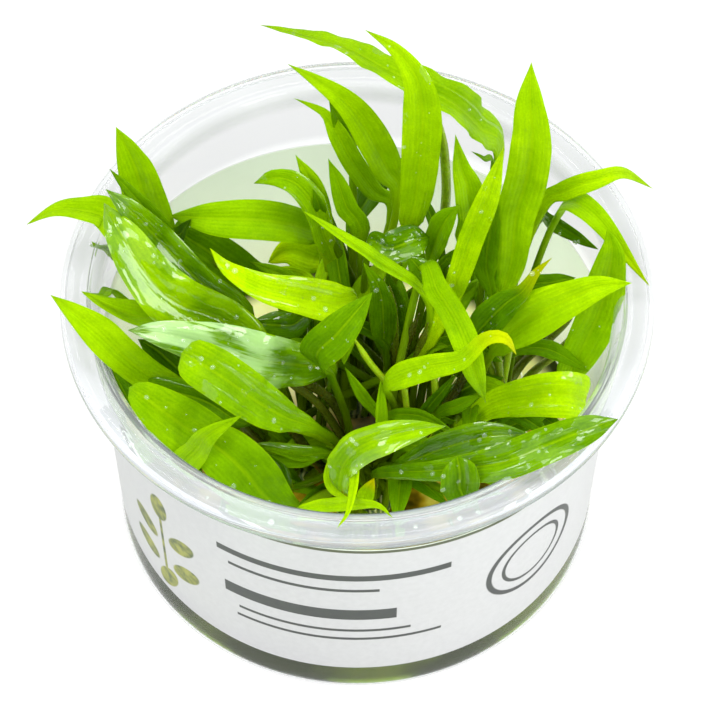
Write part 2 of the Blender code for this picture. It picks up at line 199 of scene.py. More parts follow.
LEAVES["left"] = [
    leaf("left_wet_narrow", (-19, 1, 52, 3.5), (-27, 1, 62, 5.6), (-33.5, 3.5, 70, 5.8),
         (-38, 3, 79, 3.6), (-41.5, 4.5, 82, 0), tone=0.58, wet=1),
    leaf("left_tall_second", (-30, 9, 58), (-35, 6, 74), (-41, 8, 83), width=3.6, tone=0.4),
    leaf("left_wet_broad", (-16, -6, 52, 4), (-22, -5, 58, 8), (-30.5, -6.5, 66, 9.8),
         (-35.5, -4.5, 72, 8.4), (-39, -1, 77, 6), (-42, 5, 77.5, 0), tone=0.76, wet=1),
    leaf("left_back_lower", (-14, 15, 38, 3.5), (-20.5, 14, 46, 7.8), (-26, 13, 54, 7.7),
         (-30, 13.5, 58, 4), (-30, 16, 59, 0.5), tone=0.35),
    leaf("left_rim_upper", (-28, -3, 52), (-39, -7, 63), (-46, -4, 65), width=6, turn=40,
         tone=0.75),
    leaf("pale_gloss", (-4, -8, 48, 2.6), (-9.5, -11, 54, 7.2), (-16, -15, 61, 9.4),
         (-22, -17, 67, 8.6), (-27.5, -18, 71, 6.4), (-33, -18, 73, 3.8), (-37.5, -17.5, 73, 0),
         wet=1.3, fold=8, puff=0.12, wave=1.4),
    leaf("left_tall", (-32, 14, 52, 6), (-35.5, 13.5, 66, 7.6), (-37, 13, 76, 6.6),
         (-38.5, 13.5, 82, 3.8), (-40, 14, 86.5, 0), tone=0.75),
    leaf("front_left_bent", (-28, -28.5, 50, 6.4), (-26, -30.5, 58, 4.6), (-24, -31, 63, 3.4),
         (-18.5, -30, 67, 0), tone=0.7),
    leaf("bright_blade", (-0.5, 2.5, 52, 2), (-4, -1, 58, 7), (-10, -3, 63, 6.7), (-16, -5, 68, 5),
         (-21.5, -3.5, 71, 2.6), (-24.5, 0, 72, 0), tone=0.9, wet=0.6),
    leaf("far_left", (-39, 8, 62, 4), (-42.5, 11.5, 64.5, 7), (-46.5, 12, 66, 5),
         (-51, 12, 66, 2.8), (-56, 12, 62, 0), turn=30, tone=0.8),
    leaf("front_left_broad", (-17, -22, 42, 4), (-22, -24.5, 48, 8), (-27, -25.5, 55, 9.8),
         (-31.5, -25, 60, 8.6), (-35.5, -23.5, 63, 5.5), (-37.5, -22, 63, 3), tone=0.62, wet=0.3),
    leaf("left_back_broad", (-6, 19, 46, 1.5), (-9.5, 16, 56, 5.8), (-16, 12.5, 63, 7.2),
         (-23.5, 10.5, 66, 6.2), (-29, 12, 64.5, 2.5), (-32, 14, 62, 0), tone=0.65),
    leaf("left_rim_lower", (-26, -14, 46, 3), (-30.5, -13.5, 50, 5), (-35.5, -14, 56, 5.8),
         (-39.5, -13.5, 61, 6.2), (-43, -11.5, 64, 6), (-47, -9, 66, 3.3), (-51, -5.5, 66, 0),
         tone=0.77),
]

LEAVES["right"] = [
    leaf("tallest", (24.5, 6, 50, 2.6), (26, 6, 61, 5.4), (26.5, 7.5, 72, 6.9), (28, 8, 82, 7.4),
         (28.5, 8.5, 92, 6.9), (28, 11, 98, 4.8), (28, 15, 103, 0), tone=0.76),
    leaf("right_back_dark", (31, 23, 49), (34, 19, 54), (41, 12, 56), width=3.5, turn=40, tone=0.35,
         wet=0.8),
    leaf("beside_tallest", (23.5, 4.5, 50, 2.5), (22, 7, 58, 6), (22.5, 8, 68, 6), (23, 8, 77, 0.5),
         turn=-40, tone=0.45),
    leaf("right_back_arch", (31, 16, 62, 2.4), (35, 15, 69, 3.8), (40, 15, 72, 3.7),
         (44.5, 17, 71, 2), (50, 19, 64, 0), turn=25, tone=0.85),
    leaf("right_front_broad", (17.5, -13, 38, 2), (23, -13.5, 46, 4.8), (29.5, -17, 54, 7.1),
         (34.5, -18, 56, 8.2), (38.5, -15.5, 51, 7.6), tone=0.88, wet=0.5),
    leaf("right_wall", (36, -5, 38, 3), (36.5, -4, 43, 5), (38.5, -2.5, 48, 6.9), (41, 0, 55, 7.6),
         (42, 1.5, 62, 6.9), (42.5, 2.5, 69, 4.3), (41.5, 4.5, 72, 0.6), tone=0.7, wet=0.3),
    leaf("back_arch", (24, 24.5, 66, 4.4), (20, 24, 74, 7.4), (16, 22.5, 82, 7.5),
         (10, 23, 86.5, 6.6), (4, 26.5, 87, 5.2), (-2, 33, 84, 3.6), (-8, 38.5, 80, 2.6),
         (-17, 46, 74, 0), turn=25, tone=0.72, wave=2.6, wet=0.4, fold=28),
    leaf("right_bright", (23.5, -7, 54, 4), (27, -7.5, 61, 7.8), (30.5, -9, 67, 8.4),
         (35.5, -9.5, 72, 6.2), (40, -9.5, 75, 3.9), (45, -9.5, 76, 0), tone=0.82),
    leaf("right_back_over", (34, 16, 60), (39, 11, 68), (49, 0, 62), width=4.5, peak=0.3, tone=0.75,
         gold=0.2),
]

LEAVES["front"] = [
    leaf("front_wet", (7.5, -23, 42, 2.4), (14.5, -25, 50, 5.4), (21.5, -26, 55, 5.6),
         (28.5, -26, 56, 1), tone=0.48, wet=1),
    leaf("front_left_fold", (-7, -21, 50, 2), (-12, -23.5, 57, 5.5), (-16.5, -24.5, 63, 7.8),
         (-21.5, -25, 70, 8.4), (-25.5, -25, 74.5, 8), (-28.5, -23, 74.5, 6), tone=0.64, wet=0.6,
         wave=2.6),
    leaf("front_drooping", (-1, -30, 58), (0, -37, 62), (-1, -45, 62), (-3, -48, 61), width=2.2,
         turn=40, tone=0.9),
    leaf("centre_small_upright", (4, -16, 40), (4, -16, 48), (4, -14, 54), width=2.5, turn=30,
         tone=0.65),
    leaf("front_curl", (-2.5, -35.5, 54, 4.2), (-2, -36.5, 62, 5.4), (0.5, -37, 68, 6.2),
         (4.5, -37, 71, 5.6), (9, -36, 71.5, 3.8), (14.5, -34, 70, 0), tone=0.72, wet=0.8,
         wave=2.4),
    leaf("centre_drooping", (11, 4.5, 60, 2.4), (13.5, -3, 64, 4.4), (16, -10, 67, 4.6),
         (18, -15.5, 67, 4.8), (19.5, -18.5, 63, 3.7), (21.5, -19, 55, 0), tone=0.7),
    leaf("centre_dark_fold", (-4.5, -11.5, 52, 2), (-6.5, -13, 60, 6.2), (-3.5, -13, 65.5, 7),
         (0, -10.5, 69, 4), (2.5, -8.5, 71.5, 0), tone=0.4, wave=1.8, wet=0.3),
    leaf("front_rim", (-9, -36, 48), (-5, -39, 54), (3, -44, 62), (6, -46, 61), width=2.5,
         tone=0.85),
    leaf("front_cupped", (17.5, -34, 48, 4.5), (17, -35, 54, 7), (17, -35.5, 58.5, 7.4),
         (16.5, -34.5, 62, 5), fold=40, tone=0.38, wave=3.5, wet=0.5),
    leaf("front_left_low", (-5, -15, 34), (-10, -20, 40), (-16, -21, 44), width=3.5, turn=40,
         tone=0.5),
    leaf("front_long", (4, -26, 44, 2), (14, -32, 54, 3.8), (23.5, -34.5, 60, 6.2),
         (31, -33, 63, 6.4), (38, -30, 63.5, 4.8), (43, -27, 62, 0), tone=0.52, wet=0.8, wave=1.6),
    leaf("centre_small_left", (4, -12, 40), (1, -12, 47), (-2, -10, 52), width=2.5, turn=-30,
         tone=0.5),
    leaf("front_left_wall", (-11, -30, 38, 5), (-15.5, -31, 45, 9.5), (-18.5, -30, 50, 10.5),
         (-22, -28, 53, 9.5), (-26, -25.5, 54, 6), (-30, -22.5, 54, 0), tone=0.54, wet=0.3),
]

# Smaller leaves between these, each on the crown named first
SMALL_LEAVES = [
    small("left", "wall_shaded", (-36.5, -11, 35, 2.5), (-39, -9, 41, 4.6), (-41, -7.5, 46, 4),
          (-42, -6, 50, 0), tone=0.35),
    small("left", "left_shade", (-28, -4.5, 40, 2), (-31.5, -4.5, 45, 5.5), (-34, -4.5, 49, 5),
          (-37, -4.5, 52, 0), tone=0.2),
    small("back", "back_yellow", (-5, 21.5, 36, 3), (-9, 22, 40, 6.5), (-12.5, 21.5, 42, 5),
          (-15.5, 19, 42, 1), tone=0.95, gold=0.3),
    small("back", "back_lime", (-5.5, 15.5, 36, 2), (-10, 18, 38, 4.5), (-13.5, 18, 40, 3),
          (-16, 17, 41, 0), tone=0.8, gold=0.2),
    small("front", "right_low", (14, -14, 44), (17, -15, 48), (21, -14, 50), width=2.5, tone=0.4),
    small("front", "front_dark", (9, -14, 40), (13, -14, 48), (17, -11, 52), width=2.2, tone=0.15),
    small("back", "back_inner_left", (-1, 31, 56), (-3, 30, 66), (-5, 30, 74), width=3, tone=0.5),
    small("right", "needle", (23, 21, 66), (21, 19, 72), (19, 19, 74), width=1.2, tone=0.4),
    small("right", "right_dark", (29, 6, 52), (33, 5, 56), (37, 6, 56), width=3.2, tone=0.3),
    small("right", "right_under", (23, -13, 38), (28, -14, 42), (33, -12, 42), width=4, tone=0.25),
    small("front", "front_yellow", (1, -32, 44), (2, -32, 48), (3, -31, 50), width=3, tone=0.8,
          gold=1),
    small("back", "spear_fold", (-5.5, 15, 58, 1.5), (-6.5, 13.5, 66, 2.2), (-7.5, 13.5, 70.5, 0),
          tone=0.35),
    small("front", "front_lime", (-7, -15.5, 40, 1.5), (-10.5, -17.5, 47, 3.6), (-14, -18, 53, 3.8),
          (-17, -17.5, 58, 1.5), tone=0.88),
    small("left", "left_under", (-19, -20, 50, 2), (-25, -18, 53, 5), (-31, -16.5, 54, 5),
          (-36, -15, 54, 2), tone=0.35, wet=0.4),
    small("front", "front_flap", (-3, -31.5, 58, 1.5), (-4, -33, 55, 3), (-3, -34, 52, 3.4),
          (-1, -35, 50, 1), tone=0.85),
    small("back", "curl_dark", (-31, 11.5, 57, 1.5), (-29.5, 10.5, 62, 3), (-28, 10.5, 66, 0),
          tone=0.15),
    small("front", "mid_low", (-5, -17.5, 37, 1.5), (-10, -20, 40, 4.2), (-15.5, -20.5, 42, 3.5),
          (-19, -19.5, 42, 0), tone=0.5, wet=0.6),
    small("left", "left_wall", (-42, 14, 50), (-44, 10, 58), (-45, 10, 60), width=3, tone=0.7),
    small("left", "left_tip", (-40, 4, 52), (-43, 0, 58), (-46, -1, 60), width=2.4, tone=0.7),
    small("front", "front_crumpled", (-11, -25, 38), (-14, -25, 44), (-17, -23, 46), width=4.5,
          tone=0.2, wet=0.9, wave=3),
    small("left", "left_low", (-20, -13, 42), (-23, -14, 46), (-27, -13, 46), width=3.5, tone=0.25),
    small("left", "left_pale", (-33, -14, 34), (-35, -15, 40), (-37, -14, 42), width=2.6, tone=0.7,
          gold=0.6),
    small("left", "left_scrap", (-8, 6.5, 42, 2), (-11.5, 3.5, 45, 4.8), (-14.5, 2.5, 46.5, 4.8),
          (-18, 2.5, 47, 1), tone=0.35, wet=0.9, wave=2),
    small("back", "spear_inner", (-5, 23, 50), (-6, 21, 56), (-7, 21, 60), width=2.4, tone=0.25),
]

# Leafless or half hidden stalks: radius and greenness, then the route from the top down to a
# crown
STALKS = {
    "fan_left": (0.75, 0.25, (-17, -11.5, 48), (-16, -11, 46), (-10, -8.5, 36), (-4, -7, 24),
                 (1, -9, 15)),
    "fan_low": (0.85, 0.1, (-20, -11.5, 47), (-18, -11, 44), (-12, -9.5, 34), (-6, -9, 20),
                (-2, -9, 15)),
    "fan_middle": (0.7, 0.3, (-13, -10.5, 49), (-11, -9.5, 46), (-6.5, -8, 38), (-2, -6.5, 24),
                   (0, -7.5, 15)),
    "fan_upper": (0.8, 0.15, (-12, -11, 51), (-9.5, -10, 48), (-4.5, -7, 38), (-1, -6.5, 26),
                  (2, -8, 15)),
    "fan_under": (0.75, 0.2, (-21, -14, 43), (-16, -12.5, 32), (-12, -9, 20), (-10, -5, 15)),
    "centre_dark": (0.8, 0.15, (10.5, -1, 55), (9.5, -0.5, 50), (8, 0.5, 42), (7, 2, 30),
                    (8, 2, 15)),
    "centre_olive": (0.7, 0.35, (12, -1.5, 53), (11.5, -1, 49), (10.5, 0, 42), (9.5, 1.5, 28),
                     (10, 2, 15)),
    "centre_back": (0.7, 0.45, (5.5, 4, 56), (6, 4, 52), (6.5, 4, 40), (6, 3, 26), (7, 2.5, 15)),
    "lime_long": (0.55, 0.95, (-1, -4.5, 54), (2, -4.5, 46), (5.5, -4.5, 38), (7, -4.5, 28),
                  (8, -2, 15)),
    "lime_short": (0.55, 0.9, (7.5, -8.5, 47), (8, -8, 44), (8.5, -8, 38), (9, -6.5, 28),
                   (9, -2.5, 15)),
    "lime_right": (0.6, 0.85, (12.5, -7.5, 49), (13, -6.5, 46), (13.5, -5.5, 38), (14, -3, 28),
                   (12, 0, 15)),
    "right_first": (0.6, 0.7, (21, -2.5, 49), (21.5, -2, 46), (23, -1.5, 40), (24, 0.5, 30),
                    (22, 3, 15)),
    "right_second": (0.65, 0.5, (23.5, -3, 49), (24, -2.5, 46), (24.5, -2.5, 40), (25, -0.5, 30),
                     (23.5, 3, 15)),
    "right_third": (0.6, 0.8, (26.5, -3, 50), (26, -2, 46), (25.5, -1, 38), (25, 0.5, 28),
                    (24.5, 4, 15)),
    "diagonal": (0.8, 0.1, (20, -6, 48), (18.5, -6, 44), (15.5, -6.5, 36), (11.5, -6.5, 26),
                 (4, -8, 15)),
    "back_first": (0.75, 0.35, (38, 9, 44), (36, 9.5, 38), (33, 11, 30), (29, 13, 20), (25, 8, 15)),
    "back_second": (0.8, 0.45, (35.5, 10, 43), (33.5, 11, 36), (31, 13, 28), (28, 14, 19),
                    (23.5, 9, 15)),
    "back_third": (0.7, 0.55, (39.5, 7, 42), (38.5, 8, 38), (35, 10, 28), (30.5, 12, 18),
                   (26, 6.5, 15)),
    "olive_wall": (0.8, 0.6, (12.5, 17.5, 88), (13.5, 17.5, 84), (14.5, 18, 74), (15, 19.5, 60),
                   (14, 22, 44), (8, 19, 26), (3, 14, 15)),
}


class Tree:
    """Short helpers for one material's node tree."""

    def __init__(self, name):
        self.material = bpy.data.materials.new(name)
        self.material.use_nodes = True
        self.nodes = self.material.node_tree.nodes
        self.links = self.material.node_tree.links
        self.surface = self.nodes["Principled BSDF"].outputs[0]

    def put(self, socket, value):
        if isinstance(value, bpy.types.NodeSocket):
            self.links.new(value, socket)
        elif socket.type == "RGBA":
            socket.default_value = (*value, 1.0)
        elif value is not None:
            socket.default_value = value

    def add(self, kind, *values, **named):
        """A new node: its first sockets in order, then its properties and other sockets by name."""
        item = self.nodes.new("ShaderNode" + kind)
        for key, value in named.items():
            if hasattr(item, key):
                setattr(item, key, value)
            else:
                self.put(item.inputs[key.replace("_", " ")], value)
        for socket, value in zip(item.inputs, values):
            self.put(socket, value)
        return item

    def set(self, **values):
        for key, value in values.items():
            self.put(self.nodes["Principled BSDF"].inputs[key.replace("_", " ")], value)
        return self.material

    def math(self, operation, *values, clamp=False):
        return self.add("Math", *values, operation=operation, use_clamp=clamp).outputs[0]

    def times(self, first, *others):
        for other in others:
            first = self.math("MULTIPLY", first, other)
        return first

    def most(self, first, *others):
        for other in others:
            first = self.math("MAXIMUM", first, other)
        return first

    def line(self, value, slope, start, clamp=False):
        return self.math("MULTIPLY_ADD", value, slope, start, clamp=clamp)

    def shift(self, field, amount, start, clamp=False):
        """Moves a value up and down with a noise field about its middle."""
        return self.line(self.math("SUBTRACT", field, 0.5), amount, start, clamp)

    def length(self, x, y):
        squares = [self.math("POWER", part, 2.0) for part in (x, y)]
        return self.math("SQRT", self.math("ADD", *squares))

    def span(self, *values):
        """A smooth step: a value, where it starts and ends, and what these become (or 0 and 1)."""
        return self.add("MapRange", *values, interpolation_type="SMOOTHSTEP").outputs[0]

    def fade(self, value, low, high):
        return self.span(value, low, high, 1, 0)

    def mix(self, factor, first, second):
        item = self.add("Mix", factor, data_type="RGBA")
        self.put(item.inputs[6], first)
        self.put(item.inputs[7], second)
        return item.outputs[2]

    def ramp(self, value, *stops):
        """Colours along a value; each stop is its position and the colour's three parts."""
        item = self.add("ValToRGB", value)
        line = item.color_ramp
        while len(line.elements) < len(stops):
            line.elements.new(0.5)
        for element, (position, *colour) in zip(line.elements, stops):
            element.position = position
            element.color = (*colour, 1.0)
        return item.outputs["Color"]

    def mark(self, name):
        return self.add("Attribute", attribute_name=name).outputs["Fac"]

    def place(self, scale=(1, 1, 1), source="Object"):
        where = self.add("TexCoord").outputs[source]
        return self.add("Mapping", where, Scale=scale).outputs[0]

    def parts(self, vector):
        return self.add("SeparateXYZ", vector).outputs

    def noise(self, scale, detail, vector, rough=0.5):
        item = self.add("TexNoise", vector, Scale=scale, Detail=detail, Roughness=rough)
        return item.outputs["Fac"]

    def grain(self, across, along, detail, rough=0.5):
        """Noise with its own scale across and along a blade."""
        return self.noise(1.0, detail, self.place((across, along, 1.0), "UV"), rough)

    def bump(self, height, distance, strength, normal=None):
        item = self.add("Bump", Strength=strength, Distance=distance, Height=height, Normal=normal)
        return item.outputs[0]

    def cover(self, share, other):
        """Mixes another shader over the surface so far."""
        self.surface = self.add("MixShader", share, self.surface, other.outputs[0]).outputs[0]
        self.links.new(self.surface, self.nodes["Material Output"].inputs["Surface"])
        return self.material

    def glow(self, share, colour, normal=None):
        """Light that comes through from the other side."""
        return self.cover(share, self.add("BsdfTranslucent", Color=colour, Normal=normal))

    def veil(self, colour, strength=1.0):
        """Lets shadow and diffuse rays through, so that what lies behind stays bright."""
        path = self.add("LightPath").outputs
        rays = self.most(path["Is Shadow Ray"], path["Is Diffuse Ray"])
        return self.cover(self.times(rays, strength), self.add("BsdfTransparent", colour))


def leaf_material():
    """Green blade with a pale midrib, fine parallel veins, olive stalk, wet patches and a painted
    sheen on the wettest leaves.
    """
    tree = Tree("leaf_green_skin")
    names = ("across", "along", "tone", "wet", "gold", "under")
    across, along, tone, wet, gold, under = [tree.mark(name) for name in names]
    body = tree.place()
    mottle = tree.noise(420, 4, body, 0.6)
    grain = tree.grain(2600, 90, 3, 0.6)
    veins = tree.math("SINE", tree.line(grain, 3, tree.times(across, 30)))
    side = tree.math("ABSOLUTE", across)

    # The water film: patches and long streaks, more of them the wetter the leaf
    film = tree.most(tree.grain(230, 130, 3, 0.55), tree.grain(560, 20, 2))
    film = tree.span(tree.line(wet, 0.26, film), 0.73, 0.76)

    # The green, from deep to bright
    damp = tree.times(tree.span(tree.grain(150, 60, 3, 0.6), 0.42, 0.56),
                      tree.span(wet, 0.5, 1, 0, -0.2))
    shade = tree.shift(tree.noise(95, 2, body), 0.34, tone)
    shade = tree.line(veins, 0.018, tree.shift(mottle, 0.26, shade))
    shade = tree.math("ADD", tree.shift(grain, 0.28, shade), damp)
    shade = tree.shift(tree.noise(2600, 2, body, 0.7), 0.28, shade, clamp=True)
    colour = tree.ramp(shade, (0, 0.014, 0.052, 0), (0.3, 0.075, 0.2, 0),
                       (0.6, 0.195, 0.405, 0), (0.85, 0.345, 0.6, 0),
                       (1, 0.51, 0.78, 0))
    # Painted sheen: pale mint streaks laid into the colour of the wettest leaves, away from the
    # base, standing in for a lamp's reflection on the water film
    gleam = tree.span(tree.line(grain, 0.3, tree.grain(260, 70, 2)), 0.55, 0.65)
    painted_sheen = tree.times(film, gleam, tree.span(wet, 1.05, 1.3, 0, 0.62),
                      tree.span(along, 0.22, 0.48))
    for share, over in (
        (tree.span(side, 0.03, 0.09, 0.3, 0), (0.33, 0.52, 0)),
        (tree.span(side, 0.93, 1, 0, 0.25), (0.4, 0.62, 0)),
        (tree.times(tree.math("MULTIPLY", film, wet, clamp=True), 0.06), (0.02, 0.14, 0)),
        # painted sheen, in pale mint
        (painted_sheen, (0.62, 0.9, 0.42)),
        (tree.times(gold, tree.span(along, 0.62, 0.95)), (0.66, 0.6, 0)),
        (tree.span(along, -0.25, 0.12, 0.8, 0), (0.085, 0.13, 0)),
        (tree.times(under, 0.3), (0.22, 0.38, 0.01)),
    ):
        colour = tree.mix(share, colour, over)

    ridges = tree.line(veins, 0.5, tree.noise(900, 3, body))
    relief = tree.bump(ridges, 0.00005, 0.6)
    swell = tree.bump(tree.noise(190, 3, tree.place(source="UV")), 0.0008, 0.65, relief)
    skin = tree.line(tree.noise(330, 2, body), 0.5, film)
    tree.set(
        Base_Color=colour,
        Roughness=tree.line(film, -0.2, tree.line(mottle, 0.18, 0.34), clamp=True),
        Normal=swell,
        Specular_IOR_Level=0.13,
        Specular_Tint=(0.7, 1, 0.1),
        Coat_Weight=film,
        Coat_Normal=tree.bump(skin, 0.00035, 0.8),
        Coat_Roughness=0.03,
        Coat_IOR=1.65,
    )
    return tree.glow(0.33, tree.mix(0.5, colour, (0.42, 0.66, 0)), swell)


def stalk_material():
    """Leaf stalk: brown-olive to lime, with fine long fibres and a moist sheen."""
    tree = Tree("leaf_stalk_skin")
    fibre = tree.grain(14, 60, 3, 0.6)
    patch = tree.noise(130, 2, tree.place())
    shade = tree.shift(patch, 0.4, tree.shift(fibre, 0.5, tree.mark("tone")), clamp=True)
    return tree.set(
        Base_Color=tree.ramp(shade, (0, 0.02, 0.022, 0.002), (0.35, 0.085, 0.115, 0.004),
                             (0.7, 0.24, 0.38, 0.006), (1, 0.42, 0.64, 0.01)),
        Roughness=tree.line(patch, 0.25, 0.12),
        Normal=tree.bump(fibre, 0.0002, 0.5),
        Subsurface_Weight=0.15,
        Subsurface_Scale=0.001,
    )


def plastic_material():
    """Clear moulded plastic with faint flow marks, its tint carrying painted light and shade by
    height and from front to rear; its shadow stays light.
    """
    tree = Tree("clear_plastic_skin")
    body = tree.place()
    flow = tree.noise(60, 1, body)
    x, y, height = tree.parts(body)
    reach = tree.length(x, y)
    # Painted light and shade in the tint: the wall lighter than the plastic above it, the flange
    # darker at the rear and lighter at the front, the brim greener at the front, and a painted dark
    # line along the front of the skirt's lower edge, light at the rear
    rear = tree.span(y, -0.046, -0.005)
    flange = tree.span(height, 0.0555, 0.0575)
    brim = tree.times(tree.span(height, 0.058, 0.059), tree.fade(reach, 0.045, 0.0457))
    skirt = tree.times(tree.fade(height, 0.0578, 0.0581), tree.span(reach, 0.0484, 0.0488))
    tint_and_painted_light = tree.mix(tree.span(height, 0.0465, 0.048), (0.905, 0.912, 0.915), (0.77, 0.775, 0.78))
    # each zone has a front and a rear tint: painted light and shade
    for share, front, back in (
        (flange, (0.84, 0.86, 0.9), (0.665, 0.67, 0.675)),
        (brim, (0.72, 0.8, 0.79), (0.72, 0.725, 0.73)),
        (skirt, (0.58, 0.61, 0.6), (0.84, 0.845, 0.85)),
    ):
        tint_and_painted_light = tree.mix(share, tint_and_painted_light, tree.mix(rear, front, back))
    tree.set(
        Base_Color=tint_and_painted_light,
        Transmission_Weight=tree.line(flange, -0.18, 0.98),
        Roughness=tree.line(flow, 0.06, 0.01),
        Normal=tree.bump(flow, 0.0003, 0.15),
        IOR=1.15,
    )
    return tree.veil((0.93, 0.95, 0.95))


def gel_material():
    """Set gel: swirled amber in front, pale yellow behind, and darker green towards the wall."""
    tree = Tree("culture_gel_skin")
    body = tree.place()
    x, y, height = tree.parts(body)
    cloud = tree.noise(45, 4, body)
    amber = tree.ramp(tree.noise(130, 3, body, 0.6), (0.36, 0.04, 0.03, 0.001),
                      (0.46, 0.15, 0.09, 0.002), (0.55, 0.33, 0.21, 0.005),
                      (0.66, 0.56, 0.43, 0.05))
    pale = tree.ramp(cloud, (0.3, 0.42, 0.4, 0.1), (0.5, 0.78, 0.7, 0.3),
                     (0.7, 0.9, 0.86, 0.55))
    # Darker green towards the wall, in patches, with lighter green streaks near the bottom
    edge_green = tree.mix(tree.span(cloud, 0.4, 0.65), (0.018, 0.025, 0.001), (0.075, 0.098, 0.004))
    streak = tree.times(tree.fade(height, 0.0015, 0.0035), tree.span(cloud, 0.42, 0.55))
    edge_green = tree.mix(streak, edge_green, (0.2, 0.31, 0.008))
    colour = tree.mix(tree.span(y, 0.002, 0.016), amber, pale)
    return tree.set(
        Base_Color=tree.mix(tree.span(tree.length(x, y), 0.036, 0.0395), colour, edge_green),
        Roughness=tree.line(tree.noise(300, 2, body), 0.15, 0.1),
        Normal=tree.bump(tree.noise(180, 3, body), 0.0008, 0.6),
        Specular_IOR_Level=0.06,
        Subsurface_Weight=0.3,
        Subsurface_Scale=0.002,
    )


def crown_material():
    """Olive crown flesh with darker old leaf scars."""
    tree = Tree("crown_flesh_skin")
    body = tree.place()
    rings = tree.add("TexWave", body, Scale=330, Distortion=6, Detail=3).outputs["Fac"]
    return tree.set(
        Base_Color=tree.ramp(rings, (0.1, 0.035, 0.06, 0.008), (0.5, 0.1, 0.17, 0.02),
                             (0.9, 0.3, 0.3, 0.1)),
        Roughness=tree.line(tree.noise(500, 2, body), 0.3, 0.3),
        Normal=tree.bump(rings, 0.0003, 0.7),
    )


def root_material():
    """Whitish young root, slightly moist."""
    tree = Tree("root_skin")
    grain = tree.noise(700, 3, tree.place())
    return tree.set(
        Base_Color=tree.ramp(grain, (0.3, 0.62, 0.56, 0.34), (0.7, 0.85, 0.84, 0.68)),
        Roughness=tree.line(grain, 0.2, 0.25),
        Normal=tree.bump(grain, 0.0001, 0.5),
    )


def water_material():
    """Water bead, nine parts clear to one part whitish, the whitish share a painted brightening
    that stands in for its glints; light passes it to the leaf below.
    """
    tree = Tree("water_skin")
    tree.set(
        # a tenth of the bead is whitish: painted brightening for its glints
        Base_Color=(0.97, 1, 0.97),
        Roughness=tree.times(tree.noise(300, 2, tree.place()), 0.04),
        Transmission_Weight=0.9,
        IOR=1.33,
    )
    return tree.veil((1, 1, 1))


def label_material():
    """White label stock, printed with plain rules, an outline badge and a round-leafed sprig.

    The print is laid out in millimetres along the band and above the table.
    """
    tree = Tree("label_paper_skin")
    flat, high, _ = tree.parts(tree.add("UVMap").outputs[0])

    def away(value, middle):
        return tree.math("ABSOLUTE", tree.math("SUBTRACT", value, middle))

    def bar(x, y, half_width, half_height):
        return tree.times(
            tree.fade(away(high, y), half_height - PRINT_EDGE, half_height + PRINT_EDGE),
            tree.fade(away(flat, x), half_width - PRINT_EDGE, half_width + PRINT_EDGE))

    def oval(x, y, half_width, half_height, degrees=0):
        """Distance from the middle of a leaning oval; its outline is at 1."""
        lean = math.radians(degrees)
        right = tree.math("SUBTRACT", flat, x)
        rise = tree.math("SUBTRACT", high, y)
        long = tree.line(right, math.cos(lean) / half_width,
                         tree.times(rise, math.sin(lean) / half_width))
        short = tree.line(right, -math.sin(lean) / half_height,
                          tree.times(rise, math.cos(lean) / half_height))
        return tree.length(long, short)

    rules = [bar(*rule) for rule in (
        (-4, 38.5, 20, 0.9), (-9, 34.3, 13, 0.45), (-8, 26, 15, 1.7),
        (-5.5, 20.5, 15, 0.4), (-3, 17.6, 18, 0.4),
    )]
    badge = [tree.fade(away(oval(33, 27, radius, radius), 1), 0.045, 0.075)
             for radius in (9.4, 6.4)]
    sprig = [tree.fade(oval(x, y, 3.7, 2.2, lean), 0.9, 1.05) for x, y, lean in (
        (-37, 13, 60), (-42.5, 18, 150), (-32, 19.5, 35), (-42, 26, 145), (-32.5, 28, 40),
        (-37.4, 35.5, 88),
    )]
    body = tree.place()
    fibre = tree.noise(900, 4, body)
    paper = tree.ramp(fibre, (0.3, 0.51, 0.51, 0.52), (0.7, 0.55, 0.55, 0.56))
    green = tree.ramp(tree.noise(500, 3, body), (0.35, 0.045, 0.075, 0.008),
                      (0.65, 0.3, 0.31, 0.03))
    colour = tree.mix(tree.most(*sprig, bar(-37.3, 22.5, 0.35, 12)), paper, green)
    colour = tree.mix(tree.most(*rules, *badge), colour, (0.025, 0.027, 0.032))

    # A painted shade line along the upper edge of the outer face, and the painted light of the gel
    # and the leaves on the inner face: brighter, greener paper, cream low down and darker towards
    # the top
    inner = tree.mark("inner")
    # painted shade: a dark olive line at the top of the outer face
    brim = tree.times(tree.span(tree.mark("rise"), 0.977, 0.982), tree.fade(inner, 0, 0.2))
    colour = tree.mix(brim, colour, (0.05, 0.06, 0.02))
    # the inner face: painted light, cream low down, with painted shade towards its top
    back = tree.ramp(fibre, (0.3, 0.86, 0.92, 0.76), (0.7, 0.92, 0.96, 0.84))
    back = tree.mix(tree.span(high, 16, 30, 0.8, 0), back, (0.95, 0.94, 0.62))
    back = tree.mix(tree.span(high, 30, 46, 0, 0.4), back, (0.6, 0.66, 0.53))
    colour = tree.mix(inner, colour, back)
    tree.set(
        Base_Color=colour,
        Roughness=tree.line(fibre, 0.15, 0.32),
        Normal=tree.bump(fibre, 0.00003, 0.4),
    )
    tree.glow(tree.line(inner, 0.5, 0.15), tree.mix(0.5, colour, (0.88, 0.94, 0.8)))
    return tree.veil((0.95, 1, 0.9), 0.88)


def floor_material():
    """Pale matt paint that is bright of its own, so that the table stays white."""
    tree = Tree("studio_floor_paint")
    return tree.set(
        Base_Color=tree.ramp(tree.noise(3, 2, tree.place()), (0.3, 0.2, 0.2, 0.2),
                             (0.7, 0.21, 0.21, 0.21)),
        Emission_Color=(1, 1, 1),
        Emission_Strength=0.75,
        Roughness=0.8,
        Specular_IOR_Level=0.1,
    )


def add_object(name, data):
    item = bpy.data.objects.new(name, data)
    bpy.context.scene.collection.objects.link(item)
    return item


